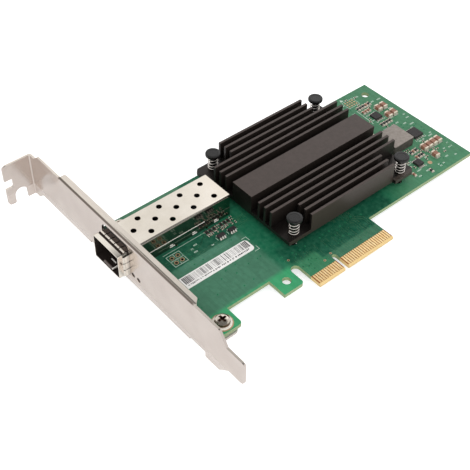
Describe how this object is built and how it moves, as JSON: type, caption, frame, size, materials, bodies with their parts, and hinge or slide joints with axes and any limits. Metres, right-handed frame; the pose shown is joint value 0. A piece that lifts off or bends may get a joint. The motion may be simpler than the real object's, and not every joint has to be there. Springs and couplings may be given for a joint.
{
  "type": "network interface card",
  "caption": "Expansion card with a pluggable-module port, a finned heatsink held by spring pins, a short edge connector and a full-height bracket.",
  "frame": {"origin": "middle of the key notch on the card-edge line, at the component face of the board", "axes": "+X from the bracket to the tail of the board, +Y from the edge connector to the opposite edge, +Z out of the component face"},
  "size_m": [0.1486, 0.1209, 0.0211],
  "materials": {
    "board_laminate": "glossy green solder mask over glass-epoxy laminate",
    "gold_plating": "bright gold-plated copper",
    "bracket_steel": "satin nickel-plated sheet steel",
    "cage_steel": "bright nickel-plated thin sheet",
    "screw_steel": "bright plated machine screw",
    "anodised_aluminium": "black anodised extrusion, fine satin",
    "pin_plastic": "dark grey moulded nylon",
    "spring_steel": "bright drawn spring wire",
    "moulding_compound": "matt black epoxy moulding",
    "chip_laminate": "chip substrate and lid",
    "tin_plating": "bright tin plating",
    "capacitor_ceramic": "brown ceramic, satin",
    "inductor_ferrite": "pressed iron powder, fine satin grey",
    "pad_rubber": "soft grey thermal pad",
    "lamp_plastic": "milky translucent lamp moulding",
    "connector_plastic": "black glass-filled moulding",
    "label_film": "white satin label film"
  },
  "bodies": {
    "root": {"circuit_board": "board_laminate", "edge_contacts_front": "gold_plating", "edge_contacts_back": "gold_plating", "bracket": "bracket_steel", "bracket_screws": "screw_steel", "port_cage_cover": "cage_steel", "port_cage_base": "cage_steel", "port_spring_collar": "cage_steel", "port_connector": "connector_plastic", "port_contacts": "gold_plating", "status_lamps": "lamp_plastic", "controller_chip": "chip_laminate", "thermal_pad": "pad_rubber", "heatsink": "anodised_aluminium", "push_pins": "pin_plastic", "pin_springs": "spring_steel", "power_inductor": "inductor_ferrite", "power_mosfet": "moulding_compound", "regulator_chip": "moulding_compound", "supervisor_chip": "moulding_compound", "package_leads": "tin_plating", "capacitor_bodies": "capacitor_ceramic", "capacitor_ends": "tin_plating", "transistor_bodies": "moulding_compound", "transistor_leads": "tin_plating", "chip_parts": "capacitor_ceramic", "decoupling_capacitors": "capacitor_ceramic", "board_pads": "gold_plating", "barcode_label": "label_film", "boot_flash": "moulding_compound", "crystal": "tin_plating"}
  },
  "joints": []
}
